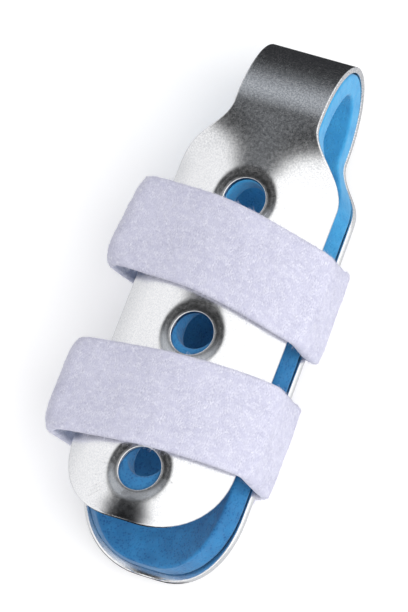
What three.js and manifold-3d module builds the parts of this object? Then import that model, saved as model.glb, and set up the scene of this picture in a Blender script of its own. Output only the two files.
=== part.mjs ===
// A fold-over finger splint: one aluminium sheet with a gutter lobe over the back of the finger and another
// under the pad, joined by a narrower bridge folded over the fingertip. A foam sheet lines it and two
// loop-fabric straps wrap both lobes, each closed under the palmar lobe by a hook tab.
//
// Millimetres. X runs across the finger, Y towards the fingertip, Z up, with the dorsal lobe on top.
// The splint lies on the flattened undersides of its two straps, at Z 0.

import * as THREE from "three";
import { mergeVertices } from "three/addons/utils/BufferGeometryUtils.js";
import Module from "manifold-3d";

const wasm = await Module();
wasm.setup();

// Sheet, as a flat blank and as bent
const LOBE_HALF_WIDTH = 15.3;
const BRIDGE_HALF_WIDTH = 7.6;
const DORSAL_LENGTH = 71.5;
const PALMAR_LENGTH = 75.2;
const SHOULDER_LENGTH = 12;
const END_CORNER_RADIUS = 13;
const GUTTER_RADIUS = 23;
const GUTTER_FADE_LENGTH = 12;
const NOSE_REACH = 13.1;
const NOSE_HEIGHT = 20;
const LOBE_SPREAD = THREE.MathUtils.degToRad(2.4);
const PLATE_THICKNESS = 1;

// Lining
const FOAM_THICKNESS = 3.5;
const FOAM_END_SETBACK = 1.2;
const FIT_GAP = 0.3;

// Vent holes on the dorsal centre line. The foam was punched at a shorter pitch than the sheet.
const HOLE_COUNT = 3;
const HOLE_DIAMETER = 7.2;
const HOLE_RIM_WIDTH = 0.9;
const HOLE_RIM_DEPTH = 0.6;
const HOLE_PITCH = 23.7;
const FIRST_HOLE_FROM_NOSE = 15.3;
const FOAM_HOLE_DIAMETER = 7;
const FOAM_HOLE_PITCH = 22.4;

// Straps: a strip of loop fabric each, with its hook tab in the lap under the palmar lobe
const STRAP_WIDTH = 16;
const STRAP_THICKNESS = 1.6;
const STRAP_EDGE_CHAMFER = 0.4;
const STRAP_FLATTENING = 0.45;
const STRAP_CORNER_RADIUS = 2.7;
const STRAP_SLACK_RADIUS = 3;
const STRAP_SLACK_START = THREE.MathUtils.degToRad(16);
const STRAP_LAP_START = THREE.MathUtils.degToRad(24);
const STRAP_LAP_END = THREE.MathUtils.degToRad(26);
const STRAP_RETURN = THREE.MathUtils.degToRad(30);
const STRAPS = [
  { name: "distal", fromNose: 24.4, skew: THREE.MathUtils.degToRad(-4.3), slackLength: 10.1 },
  { name: "proximal", fromNose: 51.2, skew: THREE.MathUtils.degToRad(2.6), slackLength: 9.5 },
];
const TAB_THICKNESS = 0.8;
const TAB_WIDTH = 14;
const TAB_HALF_ANGLE = THREE.MathUtils.degToRad(18);

// How finely the curved pieces are faceted
const COLUMNS = 12;
const NOSE_STEPS = 22;
const SHOULDER_STEPS = 11;
const END_STEPS = 8;
const HOLE_SIDES = 32;
const STRAP_ARC_STEPS = 5;
const TAB_STEPS = 10;
const SAME_PLACE = 0.001;

const FOAM_OUTER = PLATE_THICKNESS + FIT_GAP;
const FOAM_INNER = FOAM_OUTER + FOAM_THICKNESS;
const GUTTER_HALF_ANGLE = LOBE_HALF_WIDTH / GUTTER_RADIUS;
const INNER_WRAP_RADIUS = GUTTER_RADIUS + FIT_GAP + STRAP_THICKNESS / 2;
const TAB_RADIUS = INNER_WRAP_RADIUS + STRAP_THICKNESS / 2 + FIT_GAP + TAB_THICKNESS / 2;
const OUTER_WRAP_RADIUS = TAB_RADIUS + TAB_THICKNESS / 2 + FIT_GAP + STRAP_THICKNESS / 2;
const PALMAR_CROWN_Z =
  OUTER_WRAP_RADIUS + STRAP_THICKNESS / 2 - GUTTER_RADIUS - STRAP_FLATTENING;

// The sheet's outer centre line, in the plane of Y and Z, from the dorsal end over the nose to the palmar end.
// The lobes are straight and leave the elliptical nose where its slope is theirs, and the palmar one is level.
const noseTurn = Math.atan((NOSE_REACH / (NOSE_HEIGHT / 2)) * Math.tan(LOBE_SPREAD / 2));
const noseStart = Math.PI / 2 + noseTurn;
const noseAt = (height) =>
  new THREE.EllipseCurve(
    0, height, NOSE_REACH, NOSE_HEIGHT / 2, noseStart, -noseStart, true, -LOBE_SPREAD / 2,
  );
const nose = noseAt(PALMAR_CROWN_Z - noseAt(0).getPoint(1).y);
const noseLength = nose.getLength();
const noseTop = nose.getPoint(0);
const noseBottom = nose.getPoint(1);
const dorsalHeading = new THREE.Vector2(Math.cos(LOBE_SPREAD), -Math.sin(LOBE_SPREAD));
const palmarHeading = new THREE.Vector2(-1, 0);

// The outer centre line at a distance along the sheet: a point and the direction into the splint.
function centreLine(along) {
  const intoNose = along - DORSAL_LENGTH;
  let point;
  let heading;
  if (intoNose <= 0) {
    point = noseTop.clone().addScaledVector(dorsalHeading, intoNose);
    heading = dorsalHeading;
  } else if (intoNose >= noseLength) {
    point = noseBottom.clone().addScaledVector(palmarHeading, intoNose - noseLength);
    heading = palmarHeading;
  } else {
    point = nose.getPointAt(intoNose / noseLength);
    heading = nose.getTangentAt(intoNose / noseLength);
  }
  return { point, inward: new THREE.Vector2(heading.y, -heading.x) };
}

// How far a place along the sheet lies from the nose, along its own lobe: negative within the nose.
function fromNose(along) {
  return Math.max(DORSAL_LENGTH - along, along - DORSAL_LENGTH - noseLength);
}

function easeInOut(share) {
  const clamped = THREE.MathUtils.clamp(share, 0, 1);
  return (1 - Math.cos(Math.PI * clamped)) / 2;
}

// Half the flat sheet's width: bridge, shoulder, gutter lobe and round end, with its ends set back.
function halfWidth(along, setback) {
  const distance = fromNose(along);
  const lobeLength = (along < DORSAL_LENGTH ? DORSAL_LENGTH : PALMAR_LENGTH) - setback;
  const intoEnd = Math.max(0, distance - (lobeLength - END_CORNER_RADIUS));
  const roundedOff =
    END_CORNER_RADIUS - Math.sqrt(Math.max(0, END_CORNER_RADIUS ** 2 - intoEnd ** 2));
  const shouldered = THREE.MathUtils.lerp(
    BRIDGE_HALF_WIDTH, LOBE_HALF_WIDTH, easeInOut(distance / SHOULDER_LENGTH),
  );
  return shouldered - roundedOff;
}

// The curvature across the finger: none over the nose, and the gutter's own along the lobes.
function gutterCurvature(along) {
  return easeInOut(fromNose(along) / GUTTER_FADE_LENGTH) / GUTTER_RADIUS;
}

// Bends a place on the flat sheet into the splint: along it, across it, and in from its outer face.
function bend(along, across, depth) {
  const { point, inward } = centreLine(along);
  const turn = across * gutterCurvature(along);
  const flat = Math.abs(turn) < SAME_PLACE / GUTTER_RADIUS;
  const sideways = flat ? across : (across * Math.sin(turn)) / turn;
  const rise = flat ? 0 : (across * (1 - Math.cos(turn))) / turn;
  const inwards = rise + depth * Math.cos(turn);
  return new THREE.Vector3(
    sideways - depth * Math.sin(turn),
    point.x + inward.x * inwards,
    point.y + inward.y * inwards,
  );
}

// The places along the sheet where its facets meet, with its ends set back.
function sheetStations(setback) {
  const lobe = (length) => {
    const distances = [];
    const gutterStart = Math.max(SHOULDER_LENGTH, GUTTER_FADE_LENGTH);
    for (let i = 1; i <= SHOULDER_STEPS; i++)
      distances.push((gutterStart * i) / SHOULDER_STEPS);
    const straightEnd = length - setback - END_CORNER_RADIUS;
    distances.push((gutterStart + straightEnd) / 2, straightEnd);
    for (let i = 1; i <= END_STEPS; i++)
      distances.push(straightEnd + END_CORNER_RADIUS * Math.sin((Math.PI / 2) * (i / END_STEPS)));
    return distances;
  };
  const dorsal = lobe(DORSAL_LENGTH).reverse().map((distance) => DORSAL_LENGTH - distance);
  const palmar = lobe(PALMAR_LENGTH).map((distance) => DORSAL_LENGTH + noseLength + distance);
  const overNose = [];
  for (let i = 0; i <= NOSE_STEPS; i++)
    overNose.push(DORSAL_LENGTH + (noseLength * i) / NOSE_STEPS);
  return [...dorsal, ...overNose, ...palmar];
}

// A closed surface through rings of points of equal count. Point i of a ring faces point count - 1 - i
// across the strip's thickness, which is how both ends are capped.
function loft(rings) {
  const count = rings[0].length;
  const positions = rings.flat().flatMap((p) => [p.x, p.y, p.z]);
  const indices = [];
  for (let r = 0; r + 1 < rings.length; r++) {
    for (let i = 0; i < count; i++) {
      const next = (i + 1) % count;
      const a = r * count + i;
      const b = r * count + next;
      const c = (r + 1) * count + next;
      const d = (r + 1) * count + i;
      indices.push(a, b, c, a, c, d);
    }
  }
  const last = (rings.length - 1) * count;
  for (let i = 0; i + 1 < count / 2; i++) {
    const facing = count - 1 - i;
    indices.push(i, facing, facing - 1, i, facing - 1, i + 1);
    indices.push(last + i, last + i + 1, last + facing - 1, last + i, last + facing - 1, last + facing);
  }
  const geometry = new THREE.BufferGeometry();
  geometry.setAttribute("position", new THREE.Float32BufferAttribute(positions, 3));
  geometry.setIndex(indices);
  return geometry;
}

// One bent sheet between two depths, with the flat blank's outline and its ends set back.
function bentSheet(outer, inner, setback) {
  const rings = sheetStations(setback).map((along) => {
    const width = halfWidth(along, setback);
    const row = (depth) =>
      Array.from({ length: COLUMNS + 1 }, (_, i) =>
        bend(along, width * ((2 * i) / COLUMNS - 1), depth),
      );
    return [...row(outer), ...row(inner).reverse()];
  });
  return loft(rings);
}

// A closed surface as a solid that can be cut.
function solidOf(geometry) {
  const bare = geometry.clone();
  bare.deleteAttribute("normal");
  bare.deleteAttribute("uv");
  const merged = mergeVertices(bare, SAME_PLACE);
  return new wasm.Manifold(
    new wasm.Mesh({
      numProp: 3,
      vertProperties: merged.attributes.position.array,
      triVerts: new Uint32Array(merged.index.array),
    }),
  );
}

// A solid's surface as a geometry.
function geometryOf(solid) {
  const mesh = solid.getMesh();
  const geometry = new THREE.BufferGeometry();
  geometry.setAttribute("position", new THREE.BufferAttribute(mesh.vertProperties, 3));
  geometry.setIndex(new THREE.BufferAttribute(mesh.triVerts, 1));
  geometry.computeVertexNormals();
  return geometry;
}

// A round cutter standing on the dorsal centre line: its radii at two depths in from the sheet's outer face.
function dorsalCutter(distance, top, bottom) {
  const { point, inward } = centreLine(DORSAL_LENGTH - distance);
  const length = bottom.depth - top.depth;
  const cutter = new THREE.CylinderGeometry(top.radius, bottom.radius, length, HOLE_SIDES);
  const outward = new THREE.Vector3(0, -inward.x, -inward.y);
  cutter.applyQuaternion(
    new THREE.Quaternion().setFromUnitVectors(new THREE.Vector3(0, 1, 0), outward),
  );
  const middle = (top.depth + bottom.depth) / 2;
  cutter.translate(0, point.x + inward.x * middle, point.y + inward.y * middle);
  return solidOf(cutter);
}

// The aluminium sheet with its vent holes, whose rims are pressed in to a shallow cone.
function aluminiumPlate() {
  let plate = solidOf(bentSheet(0, PLATE_THICKNESS, 0));
  const radius = HOLE_DIAMETER / 2;
  const coneSlope = HOLE_RIM_WIDTH / HOLE_RIM_DEPTH;
  for (let i = 0; i < HOLE_COUNT; i++) {
    const distance = FIRST_HOLE_FROM_NOSE + i * HOLE_PITCH;
    const rim = dorsalCutter(
      distance,
      { depth: -PLATE_THICKNESS, radius: radius + HOLE_RIM_WIDTH + PLATE_THICKNESS * coneSlope },
      { depth: HOLE_RIM_DEPTH, radius },
    );
    const bore = dorsalCutter(
      distance,
      { depth: -PLATE_THICKNESS, radius },
      { depth: 2 * PLATE_THICKNESS + FIT_GAP, radius },
    );
    plate = plate.subtract(rim).subtract(bore);
  }
  return geometryOf(plate);
}

// The foam sheet inside the plate, with its own punched holes.
function foamLining() {
  let foam = solidOf(bentSheet(FOAM_OUTER, FOAM_INNER, FOAM_END_SETBACK));
  const radius = FOAM_HOLE_DIAMETER / 2;
  for (let i = 0; i < HOLE_COUNT; i++) {
    const distance = FIRST_HOLE_FROM_NOSE + i * FOAM_HOLE_PITCH;
    const bore = dorsalCutter(
      distance,
      { depth: 0, radius },
      { depth: FOAM_INNER + FIT_GAP + PLATE_THICKNESS, radius },
    );
    foam = foam.subtract(bore);
  }
  return geometryOf(foam);
}

// A strap's middle line seen along the finger, as X and Z, at a distance from the nose. It starts in the lap
// under the palmar lobe, is tight round the right side and over the crown, stands off the left side in a
// slack fold after a straight slack length, and ends in the lap again, outside the hook tab.
function wrapLine(distance, slackLength) {
  const palmarCentre = new THREE.Vector2(0, PALMAR_CROWN_Z + GUTTER_RADIUS);
  const dorsalCrown = centreLine(DORSAL_LENGTH - distance).point.y;
  const dorsalCentre = new THREE.Vector2(0, dorsalCrown - GUTTER_RADIUS);
  const polar = (centre, radius, angle) =>
    new THREE.Vector2(
      centre.x + radius * Math.cos(angle),
      centre.y + radius * Math.sin(angle),
    );
  const down = -Math.PI / 2;
  const up = Math.PI / 2;
  const line = new THREE.Path();
  line.absarc(
    palmarCentre.x, palmarCentre.y, INNER_WRAP_RADIUS,
    down - STRAP_LAP_START, down + GUTTER_HALF_ANGLE, false,
  );
  const cornerReach = INNER_WRAP_RADIUS - STRAP_CORNER_RADIUS;
  const palmarCorner = polar(palmarCentre, cornerReach, down + GUTTER_HALF_ANGLE);
  line.absarc(
    palmarCorner.x, palmarCorner.y, STRAP_CORNER_RADIUS, down + GUTTER_HALF_ANGLE, 0, false,
  );
  const dorsalCorner = polar(dorsalCentre, cornerReach, up - GUTTER_HALF_ANGLE);
  line.absarc(
    dorsalCorner.x, dorsalCorner.y, STRAP_CORNER_RADIUS, 0, up - GUTTER_HALF_ANGLE, false,
  );
  line.absarc(
    dorsalCentre.x, dorsalCentre.y, INNER_WRAP_RADIUS,
    up - GUTTER_HALF_ANGLE, up + STRAP_SLACK_START, false,
  );
  const slackCentre = polar(
    dorsalCentre, INNER_WRAP_RADIUS - STRAP_SLACK_RADIUS, up + STRAP_SLACK_START,
  );
  slackCentre.x -= slackLength * Math.cos(STRAP_SLACK_START);
  slackCentre.y -= slackLength * Math.sin(STRAP_SLACK_START);
  const returnCentre = polar(
    palmarCentre, OUTER_WRAP_RADIUS - STRAP_SLACK_RADIUS, down - STRAP_RETURN,
  );
  const descent = returnCentre.clone().sub(slackCentre);
  const sideNormal = Math.atan2(-descent.x, descent.y) + 2 * Math.PI;
  line.absarc(
    slackCentre.x, slackCentre.y, STRAP_SLACK_RADIUS, up + STRAP_SLACK_START, sideNormal, false,
  );
  line.absarc(
    returnCentre.x, returnCentre.y, STRAP_SLACK_RADIUS,
    sideNormal, 1.5 * Math.PI - STRAP_RETURN, false,
  );
  line.absarc(
    palmarCentre.x, palmarCentre.y, OUTER_WRAP_RADIUS,
    down - STRAP_RETURN, down + STRAP_LAP_END, false,
  );
  return line;
}

// A line's points without the repeats where its curves meet.
function distinct(points) {
  return points.filter((point, i) => i === 0 || point.distanceTo(points[i - 1]) > SAME_PLACE);
}

// The points of a line with the direction out of the wrap at each.
function withNormals(points) {
  return points.map((point, i) => {
    const before = points[Math.max(0, i - 1)];
    const after = points[Math.min(points.length - 1, i + 1)];
    const heading = after.clone().sub(before).normalize();
    return { point, outward: new THREE.Vector2(heading.y, -heading.x) };
  });
}

// Lofts a strip that wraps the splint. wrapAt gives its middle line at a distance from the nose, and section
// lists the corners of its cross-section as a distance across the strip and a height off its middle.
function wrappedStrip(strap, wrapAt, section) {
  const lines = section.map(({ across }) =>
    withNormals(wrapAt(strap.fromNose - across)),
  );
  const rings = lines[0].map((_, i) =>
    section.map(({ across, height }, corner) => {
      const { point, outward } = lines[corner][i];
      const x = point.x + outward.x * height;
      const z = Math.max(0, point.y + outward.y * height);
      const y = noseTop.x - strap.fromNose + across + x * Math.tan(strap.skew);
      return new THREE.Vector3(x, y, z);
    }),
  );
  return loft(rings);
}

// A whole strap, with its long edges chamfered and its underside pressed flat.
function strapGeometry(strap) {
  const side = STRAP_WIDTH / 2;
  const face = STRAP_THICKNESS / 2;
  const chamfer = STRAP_EDGE_CHAMFER;
  const outside = [
    { across: -side, height: face - chamfer },
    { across: chamfer - side, height: face },
    { across: side - chamfer, height: face },
    { across: side, height: face - chamfer },
  ];
  const inside = outside.map(({ across, height }) => ({ across, height: -height })).reverse();
  const wrapAt = (distance) =>
    distinct(wrapLine(distance, strap.slackLength).getPoints(STRAP_ARC_STEPS));
  return wrappedStrip(strap, wrapAt, [...outside, ...inside]);
}

// The hook tab in a strap's lap.
function tabGeometry(strap) {
  const side = TAB_WIDTH / 2;
  const face = TAB_THICKNESS / 2;
  const section = [
    { across: -side, height: face },
    { across: side, height: face },
    { across: side, height: -face },
    { across: -side, height: -face },
  ];
  const wrapAt = () => {
    const arc = new THREE.EllipseCurve(
      0, PALMAR_CROWN_Z + GUTTER_RADIUS, TAB_RADIUS, TAB_RADIUS,
      -Math.PI / 2 - TAB_HALF_ANGLE, -Math.PI / 2 + TAB_HALF_ANGLE, false, 0,
    );
    return arc.getPoints(TAB_STEPS);
  };
  return wrappedStrip(strap, wrapAt, section);
}

const aluminium = new THREE.MeshStandardMaterial({ color: 0xb4b7bc, roughness: 0.3, metalness: 1 });
const blueFoam = new THREE.MeshStandardMaterial({ color: 0x2f86c8, roughness: 0.95, metalness: 0 });
const loopFabric = new THREE.MeshStandardMaterial({ color: 0xdcdfec, roughness: 0.9, metalness: 0 });
const hookTape = new THREE.MeshStandardMaterial({ color: 0xe6e6ea, roughness: 0.6, metalness: 0 });

function named(name, geometry, material) {
  const mesh = new THREE.Mesh(geometry, material);
  mesh.name = name;
  return mesh;
}

const splint = new THREE.Group();
splint.add(
  named("aluminium_plate", aluminiumPlate(), aluminium),
  named("foam_lining", foamLining(), blueFoam),
);
for (const strap of STRAPS) {
  splint.add(
    named(`${strap.name}_strap`, strapGeometry(strap), loopFabric),
    named(`${strap.name}_hook_tab`, tabGeometry(strap), hookTape),
  );
}

// The part's origin is the middle of its footprint.
const bounds = new THREE.Box3().setFromObject(splint);
const middle = bounds.getCenter(new THREE.Vector3());
splint.position.set(-middle.x, -middle.y, 0);

export default splint;
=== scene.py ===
"""A fold-over finger splint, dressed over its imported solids: a satin aluminium sheet folded over the
fingertip, its blue foam lining, and two brushed loop-fabric straps that close on hook tabs underneath.

Metres, in the frame of the solids: X across the finger, Y towards the fingertip, Z up.
"""

import math
import random

import bmesh
import bpy
from mathutils import Matrix, Vector, noise
from mathutils.kdtree import KDTree


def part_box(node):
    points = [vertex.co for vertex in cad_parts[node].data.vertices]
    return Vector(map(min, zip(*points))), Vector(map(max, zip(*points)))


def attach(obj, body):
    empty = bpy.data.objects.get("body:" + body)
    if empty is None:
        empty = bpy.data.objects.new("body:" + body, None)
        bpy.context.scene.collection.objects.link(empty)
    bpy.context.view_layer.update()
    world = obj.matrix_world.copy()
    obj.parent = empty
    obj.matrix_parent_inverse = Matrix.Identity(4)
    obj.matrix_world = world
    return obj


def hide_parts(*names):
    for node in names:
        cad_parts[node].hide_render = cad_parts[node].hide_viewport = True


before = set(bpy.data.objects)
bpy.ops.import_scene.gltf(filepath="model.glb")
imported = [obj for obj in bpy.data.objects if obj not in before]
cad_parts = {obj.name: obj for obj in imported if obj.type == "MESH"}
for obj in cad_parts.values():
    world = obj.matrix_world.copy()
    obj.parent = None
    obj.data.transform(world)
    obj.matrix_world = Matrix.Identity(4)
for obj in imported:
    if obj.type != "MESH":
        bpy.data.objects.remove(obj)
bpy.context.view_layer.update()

MM = 0.001

# The sheet, as a flat blank and as bent
LOBE_HALF_WIDTH = 15.3 * MM
BRIDGE_HALF_WIDTH = 7.6 * MM
DORSAL_LENGTH = 71.5 * MM
PALMAR_LENGTH = 75.2 * MM
SHOULDER_LENGTH = 12 * MM
END_CORNER_RADIUS = 13 * MM
END_CORNER_STEPS = 40
OUTLINE_STEPS = 8
GUTTER_RADIUS = 23 * MM
GUTTER_FADE_LENGTH = 12 * MM
NOSE_REACH = 13.1 * MM
NOSE_HEIGHT = 20 * MM
NOSE_STEPS = 600
LOBE_SPREAD = math.radians(2.4)
PLATE_THICKNESS = 1 * MM
PLATE_EDGE_ROUND = 0.2 * MM
SHARP_ANGLE = math.radians(50)

# The lining
FIT_GAP = 0.3 * MM
FOAM_OUTER = PLATE_THICKNESS + FIT_GAP
FOAM_THICKNESS = 3.5 * MM
FOAM_INNER = FOAM_OUTER + FOAM_THICKNESS
FOAM_END_SETBACK = 1.2 * MM
FOAM_EDGE_ROUND = 0.5 * MM
FOAM_SWELL = 0.1 * MM
FOAM_WAVES = ((0.06 * MM, 6 * MM, (0, 0, 0)), (0.05 * MM, 1.1 * MM, (7, 3, 1)))

# Vent holes on the dorsal centre line
HOLE_COUNT = 3
FIRST_HOLE_FROM_NOSE = 15.3 * MM
HOLE_RADIUS = 3.6 * MM
HOLE_PITCH = 23.7 * MM
HOLE_RING_STEPS = (2.6, 2.2, 1.8, 1.45, 1.15, 0.85, 0.6, 0.4, 0.25, 0.15, 0.07, 0)
HOLE_RINGS = [HOLE_RADIUS + step * MM for step in HOLE_RING_STEPS]
HOLE_WINDOW_MARGIN = 0.9 * MM
HOLE_WINDOW_REACH = 2 * MM
DIMPLE_DEPTH = 0.32 * MM
DIMPLE_FLOOR_RADIUS = HOLE_RADIUS + 0.3 * MM
DIMPLE_REACH = HOLE_RADIUS + 2 * MM
FOAM_HOLE_RADIUS = 3.5 * MM
FOAM_HOLE_PITCH = 22.4 * MM
FOAM_HOLE_RINGS = [FOAM_HOLE_RADIUS + step * MM for step in (2.2, 1.6, 1.1, 0.7, 0.4, 0.2, 0.07, 0)]

# Where the metal's colour is darkened as painted shade and painted dark reflection: round the holes, at the
# dorsal end, and over the fold
RIM_SHADE_REACH = HOLE_RADIUS + 2.2 * MM
RIM_SHADE_FADE = 2 * MM
LIP_REACH = HOLE_RADIUS + 0.4 * MM
LIP_FADE = 0.2 * MM
LIP_SHINE = 0.75
BORE_REACH = HOLE_RADIUS + 0.1 * MM
BORE_FADE = 0.08 * MM
RIM_SHADE_SIDE = (0.6, 0.8)
RIM_SHADE_LEAN = 0.38
END_SHADE_LENGTH = 7.5 * MM
END_SHADE_OFFSET = 1.2 * MM
END_SHADE_HALF_WIDTH = 6 * MM
FOLD_SHADE_REACH = 13 * MM

# Straps
STRAP_WIDTH = 16 * MM
STRAP_THICKNESS = 1.6 * MM
STRAP_EDGE_ROUND = 0.7 * MM
STRAP_CORNER_RADIUS = 2.7 * MM
STRAP_SLACK_RADIUS = 3 * MM
STRAP_SLACK_START = math.radians(16)
STRAP_LAP_START = math.radians(24)
STRAP_LAP_END = math.radians(26)
STRAP_RETURN = math.radians(30)
TAB_THICKNESS = 0.8 * MM
STRAP_ROW = 0.42 * MM
STRAP_COLUMNS = 40
WRAP_ARC_STEPS = 24

# Stretches of a strap's line, counted from its lap, each pair without its second number: the slack fold, and
# the right side with the corner above. The strap's edges curl inwards on both, and the distal strap swings
# towards the finger root on the right
FOLD_STRETCHES = (6, 7)
SIDE_STRETCHES = (2, 4)
DISTAL_EDGE_CURL = 0.9 * MM
PROXIMAL_EDGE_CURL = 1.5 * MM
SIDE_CURL = 0.7 * MM
CURL_EASE = 6 * MM
CURL_POWER = 5
SWING_EASE_IN = 18 * MM
SWING_EASE_OUT = 24 * MM
SWING_SHARE_IN = 0.75
SWING_SHARE_OUT = 0.9

# The straps' nap: the unevenness of its loops, each wave with a depth, a size and a shift, and loose fibres
NAP_WAVES = (
    (0.04 * MM, 0.6 * MM, (0, 0, 0)),
    (0.06 * MM, 1.7 * MM, (3, 9, 5)),
    (0.09 * MM, 6 * MM, (1, 4, 8)),
)
FIBRE_COUNT = 32000
FIBRE_ROWS = 3
FIBRE_WIDTH = 0.036 * MM
FIBRE_TAPER = 0.35
FIBRE_LENGTHS = (0.45 * MM, 1.05 * MM)
FIBRE_HEIGHTS = (0.06 * MM, 0.18 * MM)
FIBRE_SPREAD_DEGREES = 45
FIBRE_ROOT_DEPTH = 0.03 * MM
FIBRE_TIP_SHARE = 0.7
FIBRE_EDGE_SHARE = 0.8

# Each strap's place along the lobes, its turn off square, its swing, its slack on the left and how much more
# of that slack its finger-root edge has than its middle
STRAPS = {
    "distal": {
        "from_nose": 24.4 * MM, "skew": math.radians(-4.3), "swing": 1.7 * MM,
        "slack": 10.9 * MM, "flare": 0.9 * MM,
    },
    "proximal": {
        "from_nose": 51.2 * MM, "skew": math.radians(2.6), "swing": 0.0,
        "slack": 11.1 * MM, "flare": 0.0,
    },
}

GUTTER_HALF_ANGLE = LOBE_HALF_WIDTH / GUTTER_RADIUS
INNER_WRAP_RADIUS = GUTTER_RADIUS + FIT_GAP + STRAP_THICKNESS / 2
OUTER_WRAP_RADIUS = INNER_WRAP_RADIUS + STRAP_THICKNESS + TAB_THICKNESS + 2 * FIT_GAP

# The camera, with its aim measured from the middle hole in the photo's pixels, the key light and the floor
AZIMUTH = math.radians(60)
ELEVATION = math.radians(67.4)
SPLINT_LEAN = math.radians(21.2)
PIXEL_SIZE = 0.64 * MM
FRAME_HEIGHT = 153 * PIXEL_SIZE
AIM_ACROSS = 3.2 * PIXEL_SIZE
AIM_UPWARD = 6.5 * PIXEL_SIZE
CAMERA_DISTANCE = 1.0
SENSOR_WIDTH = 36
KEY_PLACE = (0.7, -0.15, 0.75)
KEY_AIM = (0, 0, 0.01)
KEY_SIZE = 0.9
KEY_WATTS = 7.4
FLOOR_REACH = 3
FLOOR_GLOW = 0.25

# What the metal shows: a dark strip over the crown, placed by the X of a direction. Its tone follows the
# direction's Y, from 0 straight up to 1 on the fingertip's side, and has a low tone towards the horizon.
# Each fade is a range of the direction's X, Y or Z
STRIP_MIDDLE = -0.31
STRIP_CORE = 0.17
STRIP_EDGE = 0.36
STRIP_TONES = (
    (0.0, 0.01), (0.285, 0.015), (0.39, 0.28), (0.56, 0.52), (0.70, 0.36), (0.84, 0.11), (0.94, 0.03),
)
STRIP_TINT = (0.95, 1.0, 1.07)
STRIP_LOW_TONE = (0.03, 0.031, 0.034, 1)
STRIP_LOW_FADE = (0.0, 0.25)
STRIP_ROOT_FADE = (-0.7, -0.4)

# The tones of all that isn't the strip, and those that diffuse light and the backdrop have
LEFT_TONE = (0.92, 0.92, 0.93, 1)
RIGHT_TONE = (1.2, 1.2, 1.2, 1)
LEFT_FADE = (-0.9, -0.3)
LOW_TONE = (0.70, 0.705, 0.72, 1)
LOW_FADE = (-0.1, 0.35)
SOFT_TONE = (0.76, 0.76, 0.765, 1)
BACKDROP_TONE = (0.93, 0.93, 0.94, 1)

# Where the splint stands in the frame of the solids
plate_low, plate_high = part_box("aluminium_plate")
CENTRE_X = (plate_low.x + plate_high.x) / 2
PALMAR_CROWN_Z = plate_low.z
NOSE_TIP_Y = plate_high.y


def ease(share):
    """0 to 1 along a half wave, level at both ends."""
    return (1 - math.cos(math.pi * min(1.0, max(0.0, share)))) / 2


def waviness(place, waves):
    """A soft unevenness at a place: each wave has its depth, its size and a shift of its own."""
    return sum(depth * noise.noise(place / size + Vector(shift)) for depth, size, shift in waves)


# Centre line
def nose_point(angle):
    """A place on the nose's tilted ellipse about its own centre, as Y and Z."""
    tilt = -LOBE_SPREAD / 2
    reach = NOSE_REACH * math.cos(angle)
    height = NOSE_HEIGHT / 2 * math.sin(angle)
    return Vector((
        reach * math.cos(tilt) - height * math.sin(tilt),
        reach * math.sin(tilt) + height * math.cos(tilt),
    ))


NOSE_START = math.pi / 2 + math.atan(NOSE_REACH / (NOSE_HEIGHT / 2) * math.tan(LOBE_SPREAD / 2))
nose_points = [nose_point(NOSE_START * (1 - 2 * i / NOSE_STEPS)) for i in range(NOSE_STEPS + 1)]
nose_place = Vector((
    NOSE_TIP_Y - max(p.x for p in nose_points),
    PALMAR_CROWN_Z - nose_points[-1].y,
))
nose_points = [p + nose_place for p in nose_points]
nose_lengths = [0.0]
for before, after in zip(nose_points, nose_points[1:]):
    nose_lengths.append(nose_lengths[-1] + (after - before).length)
NOSE_LENGTH = nose_lengths[-1]
DORSAL_HEADING = Vector((math.cos(LOBE_SPREAD), -math.sin(LOBE_SPREAD)))
PALMAR_HEADING = Vector((-1.0, 0.0))


def over_nose(distance):
    """A point and heading at a distance along the nose."""
    low, high = 0, NOSE_STEPS
    while high - low > 1:
        middle = (low + high) // 2
        if nose_lengths[middle] <= distance:
            low = middle
        else:
            high = middle
    share = (distance - nose_lengths[low]) / (nose_lengths[high] - nose_lengths[low])
    before = nose_points[max(0, low - 1)]
    after = nose_points[min(NOSE_STEPS, high + 1)]
    return nose_points[low].lerp(nose_points[high], share), (after - before).normalized()


def centre_line(along):
    """The sheet's outer centre line as Y and Z, and the direction into the splint there."""
    into_nose = along - DORSAL_LENGTH
    if into_nose <= 0:
        point, heading = nose_points[0] + DORSAL_HEADING * into_nose, DORSAL_HEADING
    elif into_nose >= NOSE_LENGTH:
        point = nose_points[-1] + PALMAR_HEADING * (into_nose - NOSE_LENGTH)
        heading = PALMAR_HEADING
    else:
        point, heading = over_nose(into_nose)
    return point, Vector((heading.y, -heading.x))


def from_nose(along):
    """How far a place along the sheet lies from the nose along its lobe: negative within the nose."""
    return max(DORSAL_LENGTH - along, along - DORSAL_LENGTH - NOSE_LENGTH)


def half_width(along, setback):
    """Half the flat sheet's width, with its round ends set back."""
    distance = from_nose(along)
    lobe_length = (DORSAL_LENGTH if along < DORSAL_LENGTH else PALMAR_LENGTH) - setback
    into_end = max(0.0, distance - (lobe_length - END_CORNER_RADIUS))
    rounded_off = END_CORNER_RADIUS - math.sqrt(max(0.0, END_CORNER_RADIUS ** 2 - into_end ** 2))
    shoulder = ease(distance / SHOULDER_LENGTH)
    return BRIDGE_HALF_WIDTH + (LOBE_HALF_WIDTH - BRIDGE_HALF_WIDTH) * shoulder - rounded_off


def bend(place):
    """Bends a place on the flat sheet into the splint. X is across it, Y along it and Z out of its face."""
    across, along, depth = place.x, place.y, -place.z
    point, inward = centre_line(along)
    turn = across * ease(from_nose(along) / GUTTER_FADE_LENGTH) / GUTTER_RADIUS
    sideways = across if abs(turn) < 1e-6 else across * math.sin(turn) / turn
    rise = 0.0 if abs(turn) < 1e-6 else across * (1 - math.cos(turn)) / turn
    into = rise + depth * math.cos(turn)
    return Vector((
        CENTRE_X + sideways - depth * math.sin(turn),
        point.x + inward.x * into,
        point.y + inward.y * into,
    ))


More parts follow.
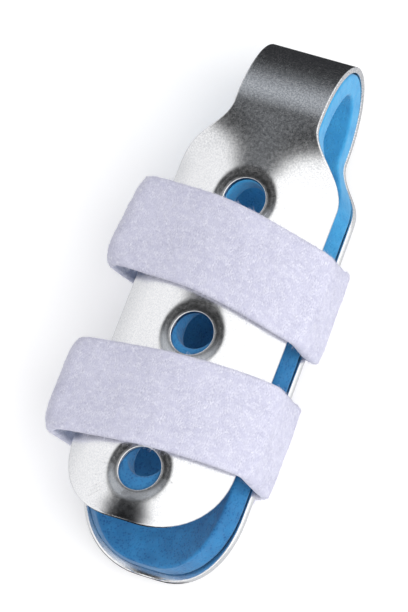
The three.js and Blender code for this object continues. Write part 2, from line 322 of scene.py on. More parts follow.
def hole_centres(pitch):
    """The holes' places on the flat sheet."""
    distances = [FIRST_HOLE_FROM_NOSE + i * pitch for i in range(HOLE_COUNT)]
    return [Vector((0.0, DORSAL_LENGTH - distance)) for distance in distances]


def from_hole(place):
    """The step to a place on the flat sheet from the middle of the nearest vent hole."""
    return min((place.xy - centre for centre in hole_centres(HOLE_PITCH)), key=lambda step: step.length)


def dimple(place):
    """How far the sheet is pressed in round its vent holes at a place on the flat sheet."""
    slope_width = DIMPLE_REACH - DIMPLE_FLOOR_RADIUS
    return DIMPLE_DEPTH * ease((DIMPLE_REACH - from_hole(place).length) / slope_width)


def rim_painted_shade(place):
    """Painted shade round the vent holes: most on the pressed slope, little on the lip, which stays bright,
    and more on the side towards the fingertip and the right, where the shade falls deeper."""
    offset = from_hole(place)
    reach = offset.length
    slope = ease((RIM_SHADE_REACH - reach) / RIM_SHADE_FADE)
    lip = ease((LIP_REACH - reach) / LIP_FADE)
    bore = ease((BORE_REACH - reach) / BORE_FADE)
    deeper = offset.dot(Vector(RIM_SHADE_SIDE)) / max(reach, MM)
    return slope * (1 - LIP_SHINE * lip * (1 - bore)) * (1 - RIM_SHADE_LEAN + RIM_SHADE_LEAN * deeper)


def end_painted_shade(place):
    """Painted dark reflection and shade at the dorsal end, darkest at its edge."""
    near_end = ease((END_SHADE_LENGTH - place.y) / END_SHADE_LENGTH)
    near_middle = 1 - ease(abs(place.x - END_SHADE_OFFSET) / END_SHADE_HALF_WIDTH)
    return near_end * near_middle


# Sheets
def sheet_rows(setback, pitch, end_rows):
    """The places along the flat sheet where its rows of faces meet, closer together at its round ends."""
    def lobe(length):
        straight_end = length - setback - END_CORNER_RADIUS
        count = round(straight_end / pitch)
        straight = [straight_end * (i + 1) / count for i in range(count)]
        turn = math.pi / 2 / end_rows
        rounded = [straight_end + END_CORNER_RADIUS * math.sin(turn * (i + 1)) for i in range(end_rows)]
        return straight + rounded

    dorsal = [DORSAL_LENGTH - distance for distance in reversed(lobe(DORSAL_LENGTH))]
    palmar = [DORSAL_LENGTH + NOSE_LENGTH + distance for distance in lobe(PALMAR_LENGTH)]
    count = round(NOSE_LENGTH / pitch)
    nose = [DORSAL_LENGTH + NOSE_LENGTH * i / count for i in range(count + 1)]
    return dorsal + nose + palmar


def edge_finder(rows, setback):
    """A tree of points along the flat sheet's outline, for the distance to its edge."""
    points = []
    for before, after in zip(rows, rows[1:]):
        for i in range(OUTLINE_STEPS):
            along = before + (after - before) * i / OUTLINE_STEPS
            width = half_width(along, setback)
            points += [Vector((width, along, 0)), Vector((-width, along, 0))]
    for along in (rows[0], rows[-1]):
        width = half_width(along, setback)
        points += [
            Vector((width * (i / END_CORNER_STEPS - 1), along, 0)) for i in range(2 * END_CORNER_STEPS + 1)
        ]
    tree = KDTree(len(points))
    for i, point in enumerate(points):
        tree.insert(point, i)
    tree.balance()
    return tree


def rounding(distance, radius):
    """How far a face falls away at a distance from its rounded edge."""
    short = max(0.0, radius - distance)
    return radius - math.sqrt(radius ** 2 - short ** 2)


def closer_to_edges(share):
    """Spreads shares from -1 to 1 so that they lie closer together near both ends."""
    return share * (3 - share * share) / 2


def ring_of_holes(mesh, centres, radii):
    """Opens a window round each hole's place and closes it again ring by ring down to the hole."""
    window = radii[0] + HOLE_WINDOW_MARGIN
    for centre in centres:
        def inside(place, margin=0.0):
            offset = place.xy - centre
            return max(abs(offset.x), abs(offset.y)) < window + margin

        doomed = [face for face in mesh.faces if inside(face.calc_center_median())]
        bmesh.ops.delete(mesh, geom=doomed, context="FACES")
        edges = [
            edge for edge in mesh.edges
            if edge.is_boundary and all(inside(vert.co, HOLE_WINDOW_REACH) for vert in edge.verts)
        ]
        for radius in radii:
            made = bmesh.ops.extrude_edge_only(mesh, edges=edges)["geom"]
            verts = [item for item in made if isinstance(item, bmesh.types.BMVert)]
            fresh = set(verts)
            for vert in verts:
                offset = vert.co.xy - centre
                vert.co.xy = centre + offset.normalized() * radius
            edges = [
                item for item in made
                if isinstance(item, bmesh.types.BMEdge) and all(vert in fresh for vert in item.verts)
            ]


def keep_flat_map(mesh, flat_place):
    """Smooths the faces and keeps each corner's place on the flat piece as the UV map "flat"."""
    flat_uv = mesh.loops.layers.uv.new("flat")
    for face in mesh.faces:
        face.smooth = True
        for loop in face.loops:
            loop[flat_uv].uv = flat_place(loop.vert)


def object_from(mesh, name, material):
    """A finished piece from its bmesh, at the origin, riding on the splint's body."""
    data = bpy.data.meshes.new(name)
    mesh.to_mesh(data)
    mesh.free()
    piece = bpy.data.objects.new(name, data)
    bpy.context.scene.collection.objects.link(piece)
    data.materials.append(material)
    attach(piece, "root")
    return piece


def bent_sheet(name, material, outer, inner, setback, edge_round, columns, pitch, end_rows,
               centres, radii, press, waves, wall_cuts):
    """A bent sheet with thickness: a flat grid with its holes, walled, rounded and bent.

    outer and inner are the depths of its two faces, columns, pitch and end_rows set the grid, centres and
    radii the rings round its holes, press how far it is pressed in and waves how uneven its faces are.
    """
    rows = sheet_rows(setback, pitch, end_rows)
    edge_tree = edge_finder(rows, setback)
    mesh = bmesh.new()
    bmesh.ops.create_grid(mesh, x_segments=columns, y_segments=len(rows) - 1, size=1)
    for vert in mesh.verts:
        along = rows[round((vert.co.y + 1) / 2 * (len(rows) - 1))]
        across = closer_to_edges(vert.co.x) * half_width(along, setback)
        vert.co = Vector((across, along, 0))
    ring_of_holes(mesh, centres, radii)
    mesh.normal_update()

    top = list(mesh.verts)
    made = bmesh.ops.extrude_face_region(mesh, geom=list(mesh.faces))["geom"]
    bottom = [item for item in made if isinstance(item, bmesh.types.BMVert)]

    def settle(verts, face_depth, side):
        for vert in verts:
            gap = edge_tree.find(vert.co.xy.to_3d())[2]
            for centre in centres:
                gap = min(gap, (vert.co.xy - centre).length - radii[-1])
            fall = rounding(max(0.0, gap), edge_round)
            vert.co.z = -(face_depth + press(vert.co) + side * fall)

    settle(top, outer, 1)
    settle(bottom, inner, -1)
    if wall_cuts:
        tops = set(top)
        uprights = [edge for edge in mesh.edges if (edge.verts[0] in tops) != (edge.verts[1] in tops)]
        bmesh.ops.subdivide_edges(mesh, edges=uprights, cuts=wall_cuts, use_grid_fill=True)
    bmesh.ops.recalc_face_normals(mesh, faces=list(mesh.faces))

    keep_flat_map(mesh, lambda vert: vert.co.xy)
    # Painted shade round the holes and at the dorsal end, and a painted dark reflection over the fold, kept
    # at the vertices
    rim_shade = mesh.verts.layers.float.new("rim_shade")
    fold_shade = mesh.verts.layers.float.new("fold_shade")
    end_shade = mesh.verts.layers.float.new("end_shade")
    for vert in mesh.verts:
        vert[rim_shade] = rim_painted_shade(vert.co)
        vert[end_shade] = end_painted_shade(vert.co)
        vert[fold_shade] = 1 - ease(from_nose(vert.co.y) / FOLD_SHADE_REACH)
        vert.co = bend(vert.co)
    mesh.normal_update()
    if waves:
        moves = [(vert, vert.normal * waviness(vert.co, waves)) for vert in mesh.verts]
        for vert, move in moves:
            vert.co += move
        mesh.normal_update()
    for edge in mesh.edges:
        edge.smooth = len(edge.link_faces) < 2 or edge.calc_face_angle() < SHARP_ANGLE
    return object_from(mesh, name, material)


# Materials
def feed(tree, socket, value):
    """Links a socket to another one, or sets it to a plain value."""
    if isinstance(value, bpy.types.NodeSocket):
        tree.links.new(value, socket)
    else:
        socket.default_value = value


def add_node(tree, kind, settings=None, **inputs):
    """A node with its settings, and inputs named with underscores for spaces."""
    node = tree.nodes.new(kind)
    for key, value in (settings or {}).items():
        setattr(node, key, value)
    for key, value in inputs.items():
        feed(tree, node.inputs[key.replace("_", " ")], value)
    return node


def calculated(tree, operation, first, second=0.0):
    """The outcome of a sum on one or two values."""
    node = add_node(tree, "ShaderNodeMath", {"operation": operation})
    feed(tree, node.inputs[0], first)
    feed(tree, node.inputs[1], second)
    return node.outputs[0]


def new_group(name, inputs, outputs):
    """A shader node group with its named sockets, and its input and output nodes."""
    group = bpy.data.node_groups.new(name, "ShaderNodeTree")
    for socket_name, kind in inputs:
        group.interface.new_socket(socket_name, in_out="INPUT", socket_type=kind)
    for socket_name, kind in outputs:
        group.interface.new_socket(socket_name, in_out="OUTPUT", socket_type=kind)
    return group, group.nodes.new("NodeGroupInput"), group.nodes.new("NodeGroupOutput")


def mottling_group():
    """Soft blotches between a low and a high value, of a size given in metres."""
    group, given, out = new_group(
        "mottling",
        [("Vector", "NodeSocketVector"), ("Size", "NodeSocketFloat"), ("Detail", "NodeSocketFloat"),
         ("Low", "NodeSocketFloat"), ("High", "NodeSocketFloat")],
        [("Value", "NodeSocketFloat")],
    )
    frequency = calculated(group, "DIVIDE", 1.0, given.outputs["Size"])
    blotches = add_node(
        group, "ShaderNodeTexNoise",
        Vector=given.outputs["Vector"], Scale=frequency, Detail=given.outputs["Detail"],
    )
    spread = add_node(group, "ShaderNodeMapRange", {"interpolation_type": "SMOOTHSTEP"},
                      Value=blotches.outputs[0], From_Min=0.32, From_Max=0.68)
    group.links.new(given.outputs["Low"], spread.inputs["To Min"])
    group.links.new(given.outputs["High"], spread.inputs["To Max"])
    group.links.new(spread.outputs[0], out.inputs["Value"])
    return group


def relief_group():
    """A fine grain as a normal: its size and depth are in metres."""
    group, given, out = new_group(
        "fine relief",
        [("Vector", "NodeSocketVector"), ("Size", "NodeSocketFloat"), ("Depth", "NodeSocketFloat"),
         ("Roughness", "NodeSocketFloat"), ("Normal", "NodeSocketVector")],
        [("Normal", "NodeSocketVector")],
    )
    frequency = calculated(group, "DIVIDE", 1.0, given.outputs["Size"])
    grain = add_node(
        group, "ShaderNodeTexNoise",
        Vector=given.outputs["Vector"], Scale=frequency, Detail=3.0,
        Roughness=given.outputs["Roughness"],
    )
    bump = add_node(group, "ShaderNodeBump", Strength=1.0, Distance=given.outputs["Depth"],
                    Height=grain.outputs[0], Normal=given.outputs["Normal"])
    group.links.new(bump.outputs[0], out.inputs["Normal"])
    return group


MOTTLING = mottling_group()
RELIEF = relief_group()


def mottled(tree, vector, size, low, high, detail=4.0):
    """Soft blotches of a size in metres, between a low and a high value."""
    node = add_node(tree, "ShaderNodeGroup", {"node_tree": MOTTLING},
                    Vector=vector, Size=size, Detail=detail, Low=low, High=high)
    return node.outputs["Value"]


def relief(tree, vector, size, depth, roughness=0.6, normal=None):
    """The normal of a fine grain, on top of another normal or of the surface's own."""
    if normal is None:
        normal = add_node(tree, "ShaderNodeNewGeometry").outputs["Normal"]
    node = add_node(tree, "ShaderNodeGroup", {"node_tree": RELIEF},
                    Vector=vector, Size=size, Depth=depth, Roughness=roughness, Normal=normal)
    return node.outputs["Normal"]


def blended(tree, factor, first, second):
    """A colour mixed by a factor; the colours may be sockets or plain values."""
    node = add_node(tree, "ShaderNodeMix", {"data_type": "RGBA"})
    for index, value in ((0, factor), (6, first), (7, second)):
        feed(tree, node.inputs[index], value)
    return node.outputs[2]


def scaled(tree, value, low, high, to_low, to_high):
    """A value brought smoothly from one range to another."""
    node = add_node(tree, "ShaderNodeMapRange", {"interpolation_type": "SMOOTHSTEP"},
                    Value=value, From_Min=low, From_Max=high, To_Min=to_low, To_Max=to_high)
    return node.outputs[0]


def washed(tree, tone, mask, share, colour):
    """A tone washed with a colour where a mask is high, at most by a share."""
    return blended(tree, scaled(tree, mask, 0, 1, 0.0, share), tone, colour)


def attribute(tree, name):
    """A value that a mesh carries at its vertices."""
    return add_node(tree, "ShaderNodeAttribute", {"attribute_name": name}).outputs["Fac"]


def new_material(name, **constants):
    """A material with one Principled shader, its constants set on the shader's own sockets."""
    material = bpy.data.materials.new(name)
    material.use_nodes = True
    tree = material.node_tree
    tree.nodes.clear()
    shader = add_node(tree, "ShaderNodeBsdfPrincipled", **constants)
    output = tree.nodes.new("ShaderNodeOutputMaterial")
    tree.links.new(shader.outputs[0], output.inputs["Surface"])
    return material, tree, shader


def satin_aluminium():
    """Rolled aluminium with a satin face: speckled grain, darkened over the fold as a painted dark
    reflection, faint rolling lines, and painted shade round the pressed rims and at the dorsal end."""
    material, tree, shader = new_material("satin aluminium", Metallic=1.0)
    place = add_node(tree, "ShaderNodeTexCoord").outputs["Object"]
    flat = add_node(tree, "ShaderNodeUVMap", {"uv_map": "flat"}).outputs[0]
    rolling = add_node(tree, "ShaderNodeMapping", Vector=flat, Scale=(1.0, 0.06, 1.0)).outputs[0]
    speckle = add_node(tree, "ShaderNodeTexNoise", Vector=place, Scale=1 / (0.26 * MM), Detail=4.0,
                       Roughness=0.7).outputs[0]
    # Darker over the fold: a painted dark reflection
    fold_shaded_tone = blended(tree, attribute(tree, "fold_shade"), (0.84, 0.85, 0.87, 1), (0.50, 0.515, 0.54, 1))
    clouds = mottled(tree, place, 5 * MM, 0.0, 1.0, 2.0)
    lines = mottled(tree, rolling, 0.25 * MM, 0.0, 1.0, 2.0)
    tone = blended(tree, scaled(tree, speckle, 0.3, 0.7, 0.0, 1.0), fold_shaded_tone, (1.0, 1.0, 1.0, 1))
    tone = washed(tree, tone, clouds, 0.07, (0.62, 0.63, 0.66, 1))
    tone = washed(tree, tone, lines, 0.08, (0.98, 0.98, 0.99, 1))
    # Painted shade round the holes' rims, spared on the lip
    tone = washed(tree, tone, attribute(tree, "rim_shade"), 0.55, (0.03, 0.032, 0.04, 1))
    # Painted dark reflection and shade at the dorsal end
    tone = washed(tree, tone, attribute(tree, "end_shade"), 0.88, (0.05, 0.052, 0.06, 1))
    tree.links.new(tone, shader.inputs["Base Color"])
    tree.links.new(mottled(tree, place, 0.6 * MM, 0.21, 0.26, 1.0), shader.inputs["Roughness"])
    grain = relief(tree, place, 0.3 * MM, 0.0016 * MM)
    drawn = relief(tree, rolling, 0.25 * MM, 0.001 * MM, normal=grain)
    tree.links.new(drawn, shader.inputs["Normal"])
    return material


def blue_foam():
    """Closed-cell foam in bright blue: pores, a skinned sheen and a slightly uneven colour, with painted
    shade that darkens it away from the fold towards the finger root."""
    material, tree, shader = new_material("blue closed-cell foam", Sheen_Weight=0.15, Sheen_Roughness=0.6)
    place = add_node(tree, "ShaderNodeTexCoord").outputs["Object"]
    cells = add_node(tree, "ShaderNodeTexVoronoi", Vector=place, Scale=1 / (0.42 * MM))
    pores = scaled(tree, cells.outputs["Distance"], 0.08, 0.55, 0.0, 1.0)
    uneven = mottled(tree, place, 3 * MM, 0.0, 1.0)
    # Painted shade: a shaded and a lit blue, blended along the splint so that the foam darkens towards the
    # finger root
    shaded_blue = blended(tree, uneven, (0.004, 0.090, 0.26, 1), (0.012, 0.15, 0.37, 1))
    lit_blue = blended(tree, uneven, (0.027, 0.275, 0.56, 1), (0.050, 0.35, 0.64, 1))
    along = add_node(tree, "ShaderNodeSeparateXYZ", Vector=place).outputs["Y"]
    tone = blended(tree, scaled(tree, along, -0.014, 0.036, 0.0, 1.0), shaded_blue, lit_blue)
    tone = washed(tree, tone, pores, 0.22, (0.06, 0.33, 0.62, 1))
    tree.links.new(tone, shader.inputs["Base Color"])
    tree.links.new(mottled(tree, place, 1.2 * MM, 0.72, 0.92), shader.inputs["Roughness"])
    bump = add_node(tree, "ShaderNodeBump", Strength=1.0, Distance=0.05 * MM, Height=pores)
    soft = relief(tree, place, 0.9 * MM, 0.08 * MM, normal=bump.outputs[0])
    tree.links.new(soft, shader.inputs["Normal"])
    return material


def loop_fabric(name, with_relief):
    """Brushed loop fabric: a pale lavender nap of fine fibres with soft cloudy patches."""
    material, tree, shader = new_material(name, Sheen_Weight=0.2, Sheen_Roughness=0.5, Roughness=0.95)
    shader.inputs["Sheen Tint"].default_value = (0.97, 0.97, 1.0, 1)
    flat = add_node(tree, "ShaderNodeUVMap", {"uv_map": "flat"}).outputs[0]
    brushed = add_node(tree, "ShaderNodeMapping", Vector=flat, Scale=(0.5, 1.0, 1.0),
                       Rotation=(0, 0, math.radians(8))).outputs[0]
    fibres = add_node(tree, "ShaderNodeTexNoise", Vector=brushed, Scale=1 / (0.2 * MM), Detail=4.0,
                      Roughness=0.7).outputs[0]
    tufts = mottled(tree, flat, 1.0 * MM, 0.0, 1.0, 3.0)
    clouds = mottled(tree, flat, 4.5 * MM, 0.0, 1.0, 2.0)
    lit = scaled(tree, fibres, 0.25, 0.75, 0.0, 1.0)
    tone = blended(tree, lit, (0.36, 0.36, 0.475, 1), (0.825, 0.825, 0.91, 1))
    tone = washed(tree, tone, tufts, 0.55, (0.47, 0.47, 0.60, 1))
    tone = washed(tree, tone, clouds, 0.25, (0.65, 0.65, 0.76, 1))
    tree.links.new(tone, shader.inputs["Base Color"])
    if with_relief:
        nap = relief(tree, brushed, 0.3 * MM, 0.05 * MM)
        tufted = relief(tree, flat, 1.1 * MM, 0.13 * MM, 0.45, normal=nap)
        tree.links.new(tufted, shader.inputs["Normal"])
    return material


def hook_tape():
    """Moulded hook tape: off-white nylon with close rows of tiny hooks."""
    material, tree, shader = new_material("hook tape")
    place = add_node(tree, "ShaderNodeTexCoord").outputs["Object"]
    hooks = add_node(tree, "ShaderNodeTexVoronoi", Vector=place, Scale=1 / (0.7 * MM), Randomness=0.25)
    heads = scaled(tree, hooks.outputs["Distance"], 0.1, 0.5, 1.0, 0.0)
    tree.links.new(blended(tree, heads, (0.62, 0.62, 0.66, 1), (0.82, 0.82, 0.85, 1)),
                   shader.inputs["Base Color"])
    tree.links.new(mottled(tree, place, 0.8 * MM, 0.45, 0.65), shader.inputs["Roughness"])
    bump = add_node(tree, "ShaderNodeBump", Strength=1.0, Distance=0.15 * MM, Height=heads)
    tree.links.new(bump.outputs[0], shader.inputs["Normal"])
    return material


# Aluminium sheet and foam lining
aluminium = satin_aluminium()
foam_blue = blue_foam()
fabric = loop_fabric("brushed loop fabric", True)
fibre_fabric = loop_fabric("loose nap fibres", False)
tape = hook_tape()

aluminium_sheet = bent_sheet(
    "aluminium_sheet", aluminium,
    outer=0.0, inner=PLATE_THICKNESS, setback=0.0, edge_round=PLATE_EDGE_ROUND,
    columns=44, pitch=0.7 * MM, end_rows=16,
    centres=hole_centres(HOLE_PITCH), radii=HOLE_RINGS,
    press=dimple, waves=(), wall_cuts=1,
)
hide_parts("aluminium_plate")

foam_sheet = bent_sheet(
    "foam_sheet", foam_blue,
    outer=FOAM_OUTER - FOAM_SWELL, inner=FOAM_INNER, setback=FOAM_END_SETBACK, edge_round=FOAM_EDGE_ROUND,
    columns=48, pitch=0.6 * MM, end_rows=14,
    centres=hole_centres(FOAM_HOLE_PITCH), radii=FOAM_HOLE_RINGS,
    press=lambda place: 0.0, waves=FOAM_WAVES, wall_cuts=5,
)
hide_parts("foam_lining")


# Straps
def wrap_line(distance, slack, steps):
    """A strap's middle line as X and Z: from the lap under the palmar lobe round the right side, over the
    crown, round the slack left side and back into the lap. steps gives the rows in each stretch, and
    without them it gives the length of each stretch instead."""
    down, up = -math.pi / 2, math.pi / 2
    palmar = Vector((0.0, PALMAR_CROWN_Z + GUTTER_RADIUS))
    dorsal = Vector((0.0, centre_line(DORSAL_LENGTH - distance)[0].y - GUTTER_RADIUS))

    def polar(centre, radius, angle):
        return centre + Vector((math.cos(angle), math.sin(angle))) * radius

    corner_reach = INNER_WRAP_RADIUS - STRAP_CORNER_RADIUS
    palmar_corner = polar(palmar, corner_reach, down + GUTTER_HALF_ANGLE)
    dorsal_corner = polar(dorsal, corner_reach, up - GUTTER_HALF_ANGLE)
    slack_centre = polar(dorsal, INNER_WRAP_RADIUS - STRAP_SLACK_RADIUS, up + STRAP_SLACK_START)
    slack_centre -= Vector((math.cos(STRAP_SLACK_START), math.sin(STRAP_SLACK_START))) * slack
    return_centre = polar(palmar, OUTER_WRAP_RADIUS - STRAP_SLACK_RADIUS, down - STRAP_RETURN)
    descent = return_centre - slack_centre
    side_normal = math.atan2(-descent.x, descent.y) + 2 * math.pi
    arcs = [
        (palmar, INNER_WRAP_RADIUS, down - STRAP_LAP_START, down + GUTTER_HALF_ANGLE),
        (palmar_corner, STRAP_CORNER_RADIUS, down + GUTTER_HALF_ANGLE, 0.0),
        (dorsal_corner, STRAP_CORNER_RADIUS, 0.0, up - GUTTER_HALF_ANGLE),
        (dorsal, INNER_WRAP_RADIUS, up - GUTTER_HALF_ANGLE, up + STRAP_SLACK_START),
        (slack_centre, STRAP_SLACK_RADIUS, up + STRAP_SLACK_START, side_normal),
        (return_centre, STRAP_SLACK_RADIUS, side_normal, 1.5 * math.pi - STRAP_RETURN),
        (palmar, OUTER_WRAP_RADIUS, down - STRAP_RETURN, down + STRAP_LAP_END),
    ]
    stretches = []
    for i, (centre, radius, start, end) in enumerate(arcs):
        if i and (polar(centre, radius, start) - stretches[-1][-1]).length > 1e-6:
            stretches.append([stretches[-1][-1], polar(centre, radius, start)])
        stretches.append([
            polar(centre, radius, start + (end - start) * k / WRAP_ARC_STEPS)
            for k in range(WRAP_ARC_STEPS + 1)
        ])
    if steps is None:
        return [sum((b - a).length for a, b in zip(stretch, stretch[1:])) for stretch in stretches]
    points = []
    for stretch, count in zip(stretches, steps):
        points += [along_polyline(stretch, k / count) for k in range(count)]
    points.append(stretches[-1][-1])
    return points


def along_polyline(points, share):
    """The point at a share of the way along points that lie evenly."""
    place = share * (len(points) - 1)
    i = min(int(place), len(points) - 2)
    return points[i].lerp(points[i + 1], place - i)


def wrap_of(strap):
    """How a flat strip is wrapped: its length, the steps along it and the function that places a point,
    given its distance across and along the strip and its height off the middle."""
    half = STRAP_WIDTH / 2
    centre = strap["from_nose"]
    lengths = wrap_line(centre, strap["slack"], None)
    steps = [max(2, round(length / STRAP_ROW)) for length in lengths]
    count = sum(steps)
    lines = []
    for i in range(STRAP_COLUMNS + 1):
        share = 2 * i / STRAP_COLUMNS - 1
        lines.append(wrap_line(centre - share * half, strap["slack"] - share * strap["flare"], steps))
    run = [0.0]
    for before, after in zip(lines[STRAP_COLUMNS // 2], lines[STRAP_COLUMNS // 2][1:]):
        run.append(run[-1] + (after - before).length)
    fold_start, fold_end = run[sum(steps[:FOLD_STRETCHES[0]])], run[sum(steps[:FOLD_STRETCHES[1]])]
    side_start, side_end = run[sum(steps[:SIDE_STRETCHES[0]])], run[sum(steps[:SIDE_STRETCHES[1]])]
    strap_y = nose_points[0].x - centre

    def line_point(line, row):
        low = min(int(row), count - 1)
        return line[low].lerp(line[low + 1], row - low)

    def place(across, row, height):
        share = (across / half + 1) / 2 * STRAP_COLUMNS
        column = min(int(share), STRAP_COLUMNS - 1)
        part = share - column
        point, before, after = (
            line_point(lines[column], at).lerp(line_point(lines[column + 1], at), part)
            for at in (row, max(0.0, row - 1), min(float(count), row + 1))
        )
        heading = (after - before).normalized()
        outward = Vector((heading.y, -heading.x))
        low = min(int(row), count - 1)
        along = run[low] + (run[low + 1] - run[low]) * (row - low)
        in_fold = ease((along - fold_start) / CURL_EASE + 0.5) * ease((fold_end - along) / CURL_EASE + 0.5)
        on_side = ease((along - side_start) / CURL_EASE + 0.5) * ease((side_end - along) / CURL_EASE + 0.5)
        fold_curl = PROXIMAL_EDGE_CURL if across < 0 else DISTAL_EDGE_CURL
        curl = in_fold * fold_curl + on_side * SIDE_CURL
        point += outward * (height - curl * abs(across / half) ** CURL_POWER)
        swing_in = ease((along - side_start) / SWING_EASE_IN + SWING_SHARE_IN)
        swing_out = ease((side_end - along) / SWING_EASE_OUT + SWING_SHARE_OUT)
        swing = swing_in * swing_out * strap["swing"]
        skewed = strap_y + across + point.x * math.tan(strap["skew"]) - swing
        spot = Vector((point.x, skewed, point.y))
        lift = waviness(spot, NAP_WAVES)
        return Vector((
            CENTRE_X + spot.x + outward.x * lift,
            spot.y,
            max(0.0, spot.z + outward.y * lift),
        ))

    return run, place


def wrapped_strap(side, strap):
    """A strap as a flat strip with soft edges, wrapped round both lobes."""
    run, place = wrap_of(strap)
    count = len(run) - 1
    mesh = bmesh.new()
    bmesh.ops.create_grid(mesh, x_segments=STRAP_COLUMNS, y_segments=count, size=1)
    row_of = mesh.verts.layers.int.new("row")
    for vert in mesh.verts:
        row = round((vert.co.y + 1) / 2 * count)
        vert[row_of] = row
        vert.co = Vector((closer_to_edges(vert.co.x) * STRAP_WIDTH / 2, run[row], 0))
    top = list(mesh.verts)
    made = bmesh.ops.extrude_face_region(mesh, geom=list(mesh.faces))["geom"]
    bottom = [item for item in made if isinstance(item, bmesh.types.BMVert)]
    half = STRAP_THICKNESS / 2
    for verts, face in ((top, 1), (bottom, -1)):
        for vert in verts:
            gap = min(STRAP_WIDTH / 2 - abs(vert.co.x), vert.co.y, run[-1] - vert.co.y)
            vert.co.z = face * (half - rounding(max(0.0, gap), STRAP_EDGE_ROUND))
    bmesh.ops.recalc_face_normals(mesh, faces=list(mesh.faces))
    keep_flat_map(mesh, lambda vert: vert.co.xy)
    for vert in mesh.verts:
        vert.co = place(vert.co.x, float(vert[row_of]), vert.co.z)
    mesh.normal_update()
    piece = object_from(mesh, f"{side}_loop_strap", fabric)
    return piece, run, place


def brushed_nap(side, run, place, seed):
    """Short loose fibres on a strap's outer face and edges: ribbons cut from one long grid, each an arch."""
    chance = random.Random(seed)
    mesh = bmesh.new()
    rows = FIBRE_COUNT * FIBRE_ROWS
    bmesh.ops.create_grid(mesh, x_segments=1, y_segments=rows - 1, size=1)
    mesh.verts.ensure_lookup_table()
    row_of = {vert: round((vert.co.y + 1) / 2 * (rows - 1)) for vert in mesh.verts}
    joins = [
        face for face in mesh.faces
        if len({row_of[vert] // FIBRE_ROWS for vert in face.verts}) > 1
    ]
    half, count = STRAP_WIDTH / 2, len(run) - 1
    fibres = []
    for _ in range(FIBRE_COUNT):
        across = chance.uniform(-1, 1) * half
        row = chance.uniform(0, count)
        heading = math.radians(90 + chance.gauss(0, FIBRE_SPREAD_DEGREES))
        length = chance.uniform(*FIBRE_LENGTHS)
        height = chance.uniform(*FIBRE_HEIGHTS)
        fibres.append((across, row, heading, length, height))
    per_row = run[-1] / count
    roots = {}
    for vert in mesh.verts:
        fibre, step = divmod(row_of[vert], FIBRE_ROWS)
        across, row, heading, length, height = fibres[fibre]
        side_step = FIBRE_WIDTH / 2 * (1 if vert.co.x > 0 else -1) * (1 - FIBRE_TAPER * step)
        forward = length * step / (FIBRE_ROWS - 1)
        sideways = across + math.cos(heading) * forward - math.sin(heading) * side_step
        onward = row + (math.sin(heading) * forward + math.cos(heading) * side_step) / per_row
        beyond = max(0.0, abs(sideways) - half)
        edge_fall = rounding(max(0.0, half - abs(sideways)), STRAP_EDGE_ROUND)
        sideways = max(-half, min(half, sideways))
        onward = max(0.0, min(float(count), onward))
        lift = (-FIBRE_ROOT_DEPTH, height, height * FIBRE_TIP_SHARE)[step]
        roots[vert] = Vector((across, run[min(count, int(row))]))
        spot = place(sideways, onward, STRAP_THICKNESS / 2 - edge_fall + lift)
        spot.y += math.copysign(beyond + (lift * FIBRE_EDGE_SHARE if edge_fall else 0.0), sideways)
        vert.co = spot
    keep_flat_map(mesh, roots.get)
    bmesh.ops.delete(mesh, geom=joins, context="FACES")
    mesh.normal_update()
    piece = object_from(mesh, f"{side}_strap_nap", fibre_fabric)
    piece.visible_shadow = False
    return piece


for seed, (side, strap) in enumerate(STRAPS.items()):
    piece, run, place = wrapped_strap(side, strap)
    nap = brushed_nap(side, run, place, seed)
    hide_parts(f"{side}_strap")
    tab = bpy.data.objects[f"{side}_hook_tab"]
    tab.data.materials.clear()
    tab.data.materials.append(tape)


# Floor, light and camera
def pale_floor():
    """A wide pale floor with a faint glow, which doesn't show in the metal."""
    material, tree, shader = new_material("pale floor", Roughness=0.9)
    shader.inputs["Specular IOR Level"].default_value = 0.1
    place = add_node(tree, "ShaderNodeTexCoord").outputs["Object"]
    uneven = mottled(tree, place, 0.3, 0.0, 1.0, 2.0)
    tone = blended(tree, uneven, (0.87, 0.87, 0.875, 1), (0.89, 0.89, 0.895, 1))
    tree.links.new(tone, shader.inputs["Base Color"])
    tree.links.new(tone, shader.inputs["Emission Color"])
    shader.inputs["Emission Strength"].default_value = FLOOR_GLOW
    mesh = bmesh.new()
    bmesh.ops.create_grid(mesh, x_segments=4, y_segments=4, size=FLOOR_REACH)
    data = bpy.data.meshes.new("floor")
    mesh.to_mesh(data)
    mesh.free()
    data.materials.append(material)
    floor = bpy.data.objects.new("floor", data)
    bpy.context.scene.collection.objects.link(floor)
    floor.visible_glossy = False


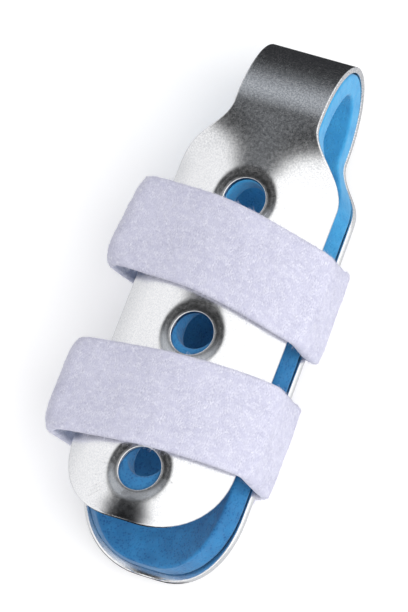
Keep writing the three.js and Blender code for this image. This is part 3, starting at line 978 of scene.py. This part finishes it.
def studio_world():
    """Pale all round, brighter on the right, with a soft dark strip over the crown for the metal to show.
    Diffuse light and the backdrop have even tones of their own."""
    world = bpy.data.worlds.new("studio")
    bpy.context.scene.world = world
    world.use_nodes = True
    tree = world.node_tree
    tree.nodes.clear()
    direction = add_node(tree, "ShaderNodeTexCoord").outputs["Generated"]
    split = add_node(tree, "ShaderNodeSeparateXYZ", Vector=direction)
    across, along, upward = split.outputs
    off_middle = calculated(tree, "ABSOLUTE", calculated(tree, "SUBTRACT", across, STRIP_MIDDLE))
    strip = scaled(tree, off_middle, STRIP_CORE, STRIP_EDGE, 1.0, 0.0)
    strip = calculated(tree, "MULTIPLY", strip, scaled(tree, along, *STRIP_ROOT_FADE, 0.0, 1.0))
    ramp = add_node(tree, "ShaderNodeValToRGB", Fac=along)
    while len(ramp.color_ramp.elements) < len(STRIP_TONES):
        ramp.color_ramp.elements.new(0.5)
    for element, (place, level) in zip(ramp.color_ramp.elements, STRIP_TONES):
        element.position = place
        element.color = (*(level * tint for tint in STRIP_TINT), 1)
    risen = scaled(tree, upward, *STRIP_LOW_FADE, 0.0, 1.0)
    overhead = blended(tree, risen, STRIP_LOW_TONE, ramp.outputs[0])
    sides = blended(tree, scaled(tree, across, *LEFT_FADE, 0.0, 1.0), LEFT_TONE, RIGHT_TONE)
    sides = blended(tree, scaled(tree, upward, *LOW_FADE, 0.0, 1.0), LOW_TONE, sides)
    light = blended(tree, strip, sides, overhead)
    seen = add_node(tree, "ShaderNodeLightPath")
    light = blended(tree, seen.outputs["Is Diffuse Ray"], light, SOFT_TONE)
    shown = blended(tree, seen.outputs["Is Camera Ray"], light, BACKDROP_TONE)
    background = add_node(tree, "ShaderNodeBackground", Color=shown, Strength=1.0)
    output = tree.nodes.new("ShaderNodeOutputWorld")
    tree.links.new(background.outputs[0], output.inputs["Surface"])


def soft_light(name, place, aim, size, watts):
    """A square area light that faces its aim and doesn't show in the metal."""
    data = bpy.data.lights.new(name, "AREA")
    data.size = size
    data.energy = watts
    light = bpy.data.objects.new(name, data)
    light.location = place
    light.rotation_mode = "QUATERNION"
    light.rotation_quaternion = (Vector(place) - Vector(aim)).to_track_quat("Z", "Y")
    light.visible_glossy = False
    bpy.context.scene.collection.objects.link(light)


def photo_camera():
    """The camera at the photograph's angle, with the splint's axis leaning right as it does there."""
    back = Vector((
        math.sin(AZIMUTH) * math.cos(ELEVATION),
        -math.cos(AZIMUTH) * math.cos(ELEVATION),
        math.sin(ELEVATION),
    ))
    up = (Vector((0, 0, 1)) - back * back.z).normalized()
    right = up.cross(back)
    axis = Vector((0, math.cos(LOBE_SPREAD), -math.sin(LOBE_SPREAD)))
    lean = math.atan2(axis.dot(right), axis.dot(up))
    turn = lean - SPLINT_LEAN
    across = right * math.cos(turn) - up * math.sin(turn)
    upward = right * math.sin(turn) + up * math.cos(turn)
    hole = bend(Vector((0, DORSAL_LENGTH - FIRST_HOLE_FROM_NOSE - HOLE_PITCH, 0)))
    aim = hole + across * AIM_ACROSS + upward * AIM_UPWARD
    data = bpy.data.cameras.new("camera")
    data.sensor_width = SENSOR_WIDTH
    data.lens = SENSOR_WIDTH * CAMERA_DISTANCE / FRAME_HEIGHT
    data.clip_start = 0.01
    data.clip_end = 50
    camera = bpy.data.objects.new("camera", data)
    axes = Matrix((across, upward, back)).transposed().to_4x4()
    camera.matrix_world = Matrix.Translation(aim + back * CAMERA_DISTANCE) @ axes
    bpy.context.scene.collection.objects.link(camera)
    bpy.context.scene.camera = camera


pale_floor()
studio_world()
soft_light("key light", KEY_PLACE, KEY_AIM, KEY_SIZE, KEY_WATTS)
photo_camera()
bpy.context.scene.view_settings.view_transform = "Standard"
